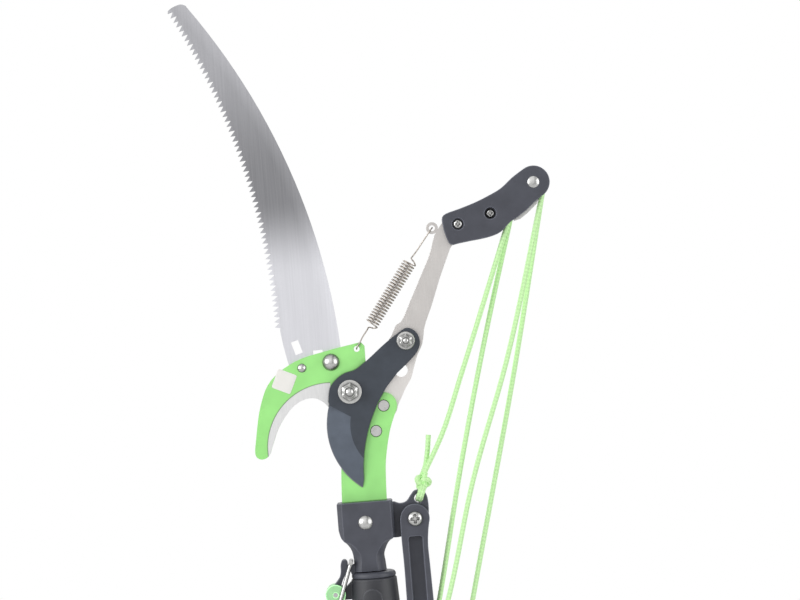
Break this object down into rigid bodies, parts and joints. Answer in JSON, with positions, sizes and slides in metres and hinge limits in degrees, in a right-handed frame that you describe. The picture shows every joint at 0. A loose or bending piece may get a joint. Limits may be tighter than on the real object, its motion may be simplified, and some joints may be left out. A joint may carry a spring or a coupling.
{
  "type": "tree pruner pole",
  "caption": "Telescopic pole with a rope-pulled bypass pruning head: hook plate, pivoting blade, cam lever with pulleys, return spring and a curved pruning saw.",
  "frame": {"origin": "centre of the hang hole through the butt end's cap", "axes": "+Z along the pole to the head, +X to the lever's side, -Y to the front of the head"},
  "size_m": [0.311, 0.0428, 1.31],
  "materials": {
    "plate_green": "gloss",
    "green_plastic": "gloss",
    "blade_steel": "brushed",
    "coated_steel": "satin",
    "zinc_steel": "satin",
    "spring_steel": "polished",
    "black_plastic": "matte",
    "grip_rubber": "matte",
    "black_tube": "satin",
    "bare_tube": "satin",
    "sheave_alloy": "satin",
    "rope_fibre": "woven"
  },
  "bodies": {
    "grip_section": {"end_cap": "black_plastic", "grip_sleeve": "grip_rubber", "inner_tube": "bare_tube", "guide_bush": "black_plastic"},
    "upper": {"lock_body": "black_plastic", "outer_tube": "black_tube", "tube_collar": "black_plastic", "latch_pin": "zinc_steel", "handle_clip": "black_plastic", "pull_handle": "black_plastic", "socket": "black_plastic", "socket_rivet": "zinc_steel", "hook_plate": "plate_green", "saw_blade": "blade_steel", "saw_bolt": "zinc_steel", "saw_nut": "zinc_steel", "saw_pin": "zinc_steel", "pivot_bolt": "zinc_steel", "pivot_washer": "zinc_steel", "pivot_nut": "zinc_steel", "lever_rivet": "zinc_steel", "neck_rivet": "zinc_steel", "strap_spacer": "zinc_steel", "back_strap": "plate_green", "arm_screw": "zinc_steel", "arm_nut": "zinc_steel", "rope_knot": "rope_fibre", "rope_pull_strand": "rope_fibre", "return_spring": "spring_steel"},
    "twist_lock": {"lock_collar": "black_plastic"},
    "latch": {"latch_hub": "green_plastic", "latch_grip": "black_plastic", "latch_bail": "zinc_steel"},
    "lever": {"lever_plate": "blade_steel", "housing_front": "black_plastic", "housing_back": "black_plastic", "housing_screws": "zinc_steel", "housing_nuts": "zinc_steel", "sheave_axle": "zinc_steel", "sheave_spacer": "zinc_steel", "rope_front_wrap": "rope_fibre", "rope_back_wrap": "rope_fibre", "rope_tie_strand": "rope_fibre", "rope_back_strand": "rope_fibre", "rope_front_strand": "rope_fibre"},
    "blade": {"cutting_blade": "coated_steel", "drive_pin": "zinc_steel", "drive_bush": "zinc_steel", "drive_nut": "zinc_steel"},
    "arm": {"pulley_arm": "black_plastic", "arm_axle": "zinc_steel", "rope_low_wrap": "rope_fibre"},
    "upper_sheave_front": {"sheave_front": "sheave_alloy"},
    "upper_sheave_back": {"sheave_back": "sheave_alloy"},
    "lower_sheave": {"arm_sheave": "sheave_alloy"}
  },
  "joints": [
    {"name": "telescope_slide", "type": "slide", "parent": "grip_section", "child": "upper", "axis": [0, 0, 1], "range_m": [0, 0.33]},
    {"name": "twist_lock_turn", "type": "hinge", "parent": "upper", "child": "twist_lock", "pos_m": [0, 0, 0.32], "axis": [0, 0, 1], "range_deg": [0, 120]},
    {"name": "latch_swing", "type": "hinge", "parent": "upper", "child": "latch", "pos_m": [-0.0333, 0, 0.788], "axis": [0, -1, 0], "range_deg": [0, 40], "stiffness_Nm_per_rad": 0.1, "springref_deg": -20.05},
    {"name": "lever_swing", "type": "hinge", "parent": "upper", "child": "lever", "pos_m": [0.0195, 0, 0.944], "axis": [0, 1, 0], "range_deg": [0, 80], "stiffness_Nm_per_rad": 2, "springref_deg": -20.05, "deforming": ["return_spring", "rope_tie_strand", "rope_back_strand", "rope_front_strand", "rope_pull_strand"]},
    {"name": "blade_swing", "type": "hinge", "parent": "upper", "child": "blade", "pos_m": [-0.008, 0, 0.958], "axis": [0, 1, 0], "range_deg": [0, 62]},
    {"name": "arm_swing", "type": "hinge", "parent": "upper", "child": "arm", "pos_m": [0.0385, 0, 0.8475], "axis": [0, 1, 0], "range_deg": [-70, 0]},
    {"name": "upper_sheave_front_spin", "type": "hinge", "parent": "lever", "child": "upper_sheave_front", "pos_m": [0.1603, 0, 1.1225], "axis": [0, 1, 0], "continuous": true},
    {"name": "upper_sheave_back_spin", "type": "hinge", "parent": "lever", "child": "upper_sheave_back", "pos_m": [0.1603, 0, 1.1225], "axis": [0, 1, 0], "continuous": true},
    {"name": "lower_sheave_spin", "type": "hinge", "parent": "arm", "child": "lower_sheave", "pos_m": [0.0375, -0.0087, 0.7055], "axis": [1, 0, 0], "continuous": true}
  ],
  "couplings": [
    {"joint": "blade_swing", "follows": "lever_swing", "ratio": 0.775},
    {"joint": "arm_swing", "follows": "lever_swing", "ratio": -0.875}
  ]
}
